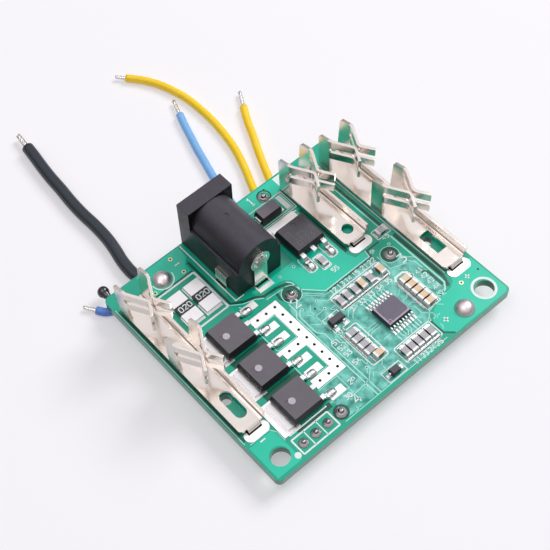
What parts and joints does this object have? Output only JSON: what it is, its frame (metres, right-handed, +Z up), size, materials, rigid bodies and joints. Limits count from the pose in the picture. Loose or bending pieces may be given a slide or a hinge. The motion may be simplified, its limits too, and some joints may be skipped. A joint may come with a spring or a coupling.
{
  "type": "battery management board",
  "caption": "Green circuit board with folded blade terminals, a barrel charging jack, power switches, sense resistors, a controller and loose cell leads.",
  "frame": {"origin": "bottom centre of the bounding box, measured without the free leads", "axes": "+X along the board's width, +Y from the mounting-hole edge to the charging-jack edge, +Z up out of the component side"},
  "size_m": [0.0547, 0.0861, 0.0151],
  "materials": {
    "solder_mask": "glossy green solder mask over glass epoxy",
    "tinned_copper": "hot-tinned copper, slightly uneven",
    "nickel_sheet": "bright nickel-plated spring sheet",
    "tinned_brass": "tin-plated brass strip",
    "tinned_leads": "matte tin plating",
    "solder": "bright solder",
    "lead_strands": "tinned copper strands",
    "black_moulding": "fine satin moulding",
    "package_epoxy": "matte moulding compound",
    "resistor_coating": "dark glaze over ceramic",
    "capacitor_ceramic": "tan ceramic",
    "black_insulation": "soft PVC insulation",
    "yellow_insulation": "soft PVC insulation",
    "light_blue_insulation": "soft PVC insulation",
    "blue_insulation": "soft PVC insulation",
    "bead_epoxy": "glossy epoxy bead"
  },
  "bodies": {
    "root": {"circuit_board": "solder_mask", "solder_lands": "tinned_copper", "negative_terminal": "nickel_sheet", "positive_terminal": "nickel_sheet", "charge_terminal": "nickel_sheet", "jack_housing": "black_moulding", "jack_centre_pin": "tinned_brass", "jack_rear_contact": "tinned_brass", "jack_side_contact": "tinned_brass", "jack_spring_contact": "tinned_brass", "front_switch_case": "package_epoxy", "front_switch_leads": "tinned_leads", "middle_switch_case": "package_epoxy", "middle_switch_leads": "tinned_leads", "rear_switch_case": "package_epoxy", "rear_switch_leads": "tinned_leads", "charge_switch_case": "package_epoxy", "charge_switch_leads": "tinned_leads", "diode_case": "black_moulding", "diode_leads": "tinned_leads", "shunt_bodies": "resistor_coating", "shunt_caps": "tinned_leads", "controller_case": "package_epoxy", "controller_pins": "tinned_leads", "signal_part_cases": "package_epoxy", "signal_part_leads": "tinned_leads", "chip_resistors": "resistor_coating", "chip_capacitors": "capacitor_ceramic", "chip_end_caps": "tinned_leads", "lead_joints": "solder", "tail_fillets": "solder", "lead_cores": "lead_strands", "black_lead": "black_insulation", "yellow_lead_1": "yellow_insulation", "yellow_lead_2": "yellow_insulation", "light_blue_lead": "light_blue_insulation", "blue_lead": "blue_insulation", "black_lead_tip": "lead_strands", "yellow_lead_1_tip": "lead_strands", "yellow_lead_2_tip": "lead_strands", "light_blue_lead_tip": "lead_strands", "blue_lead_tip": "lead_strands", "thermistor_bead": "bead_epoxy", "thermistor_leads": "tinned_leads"}
  },
  "joints": []
}
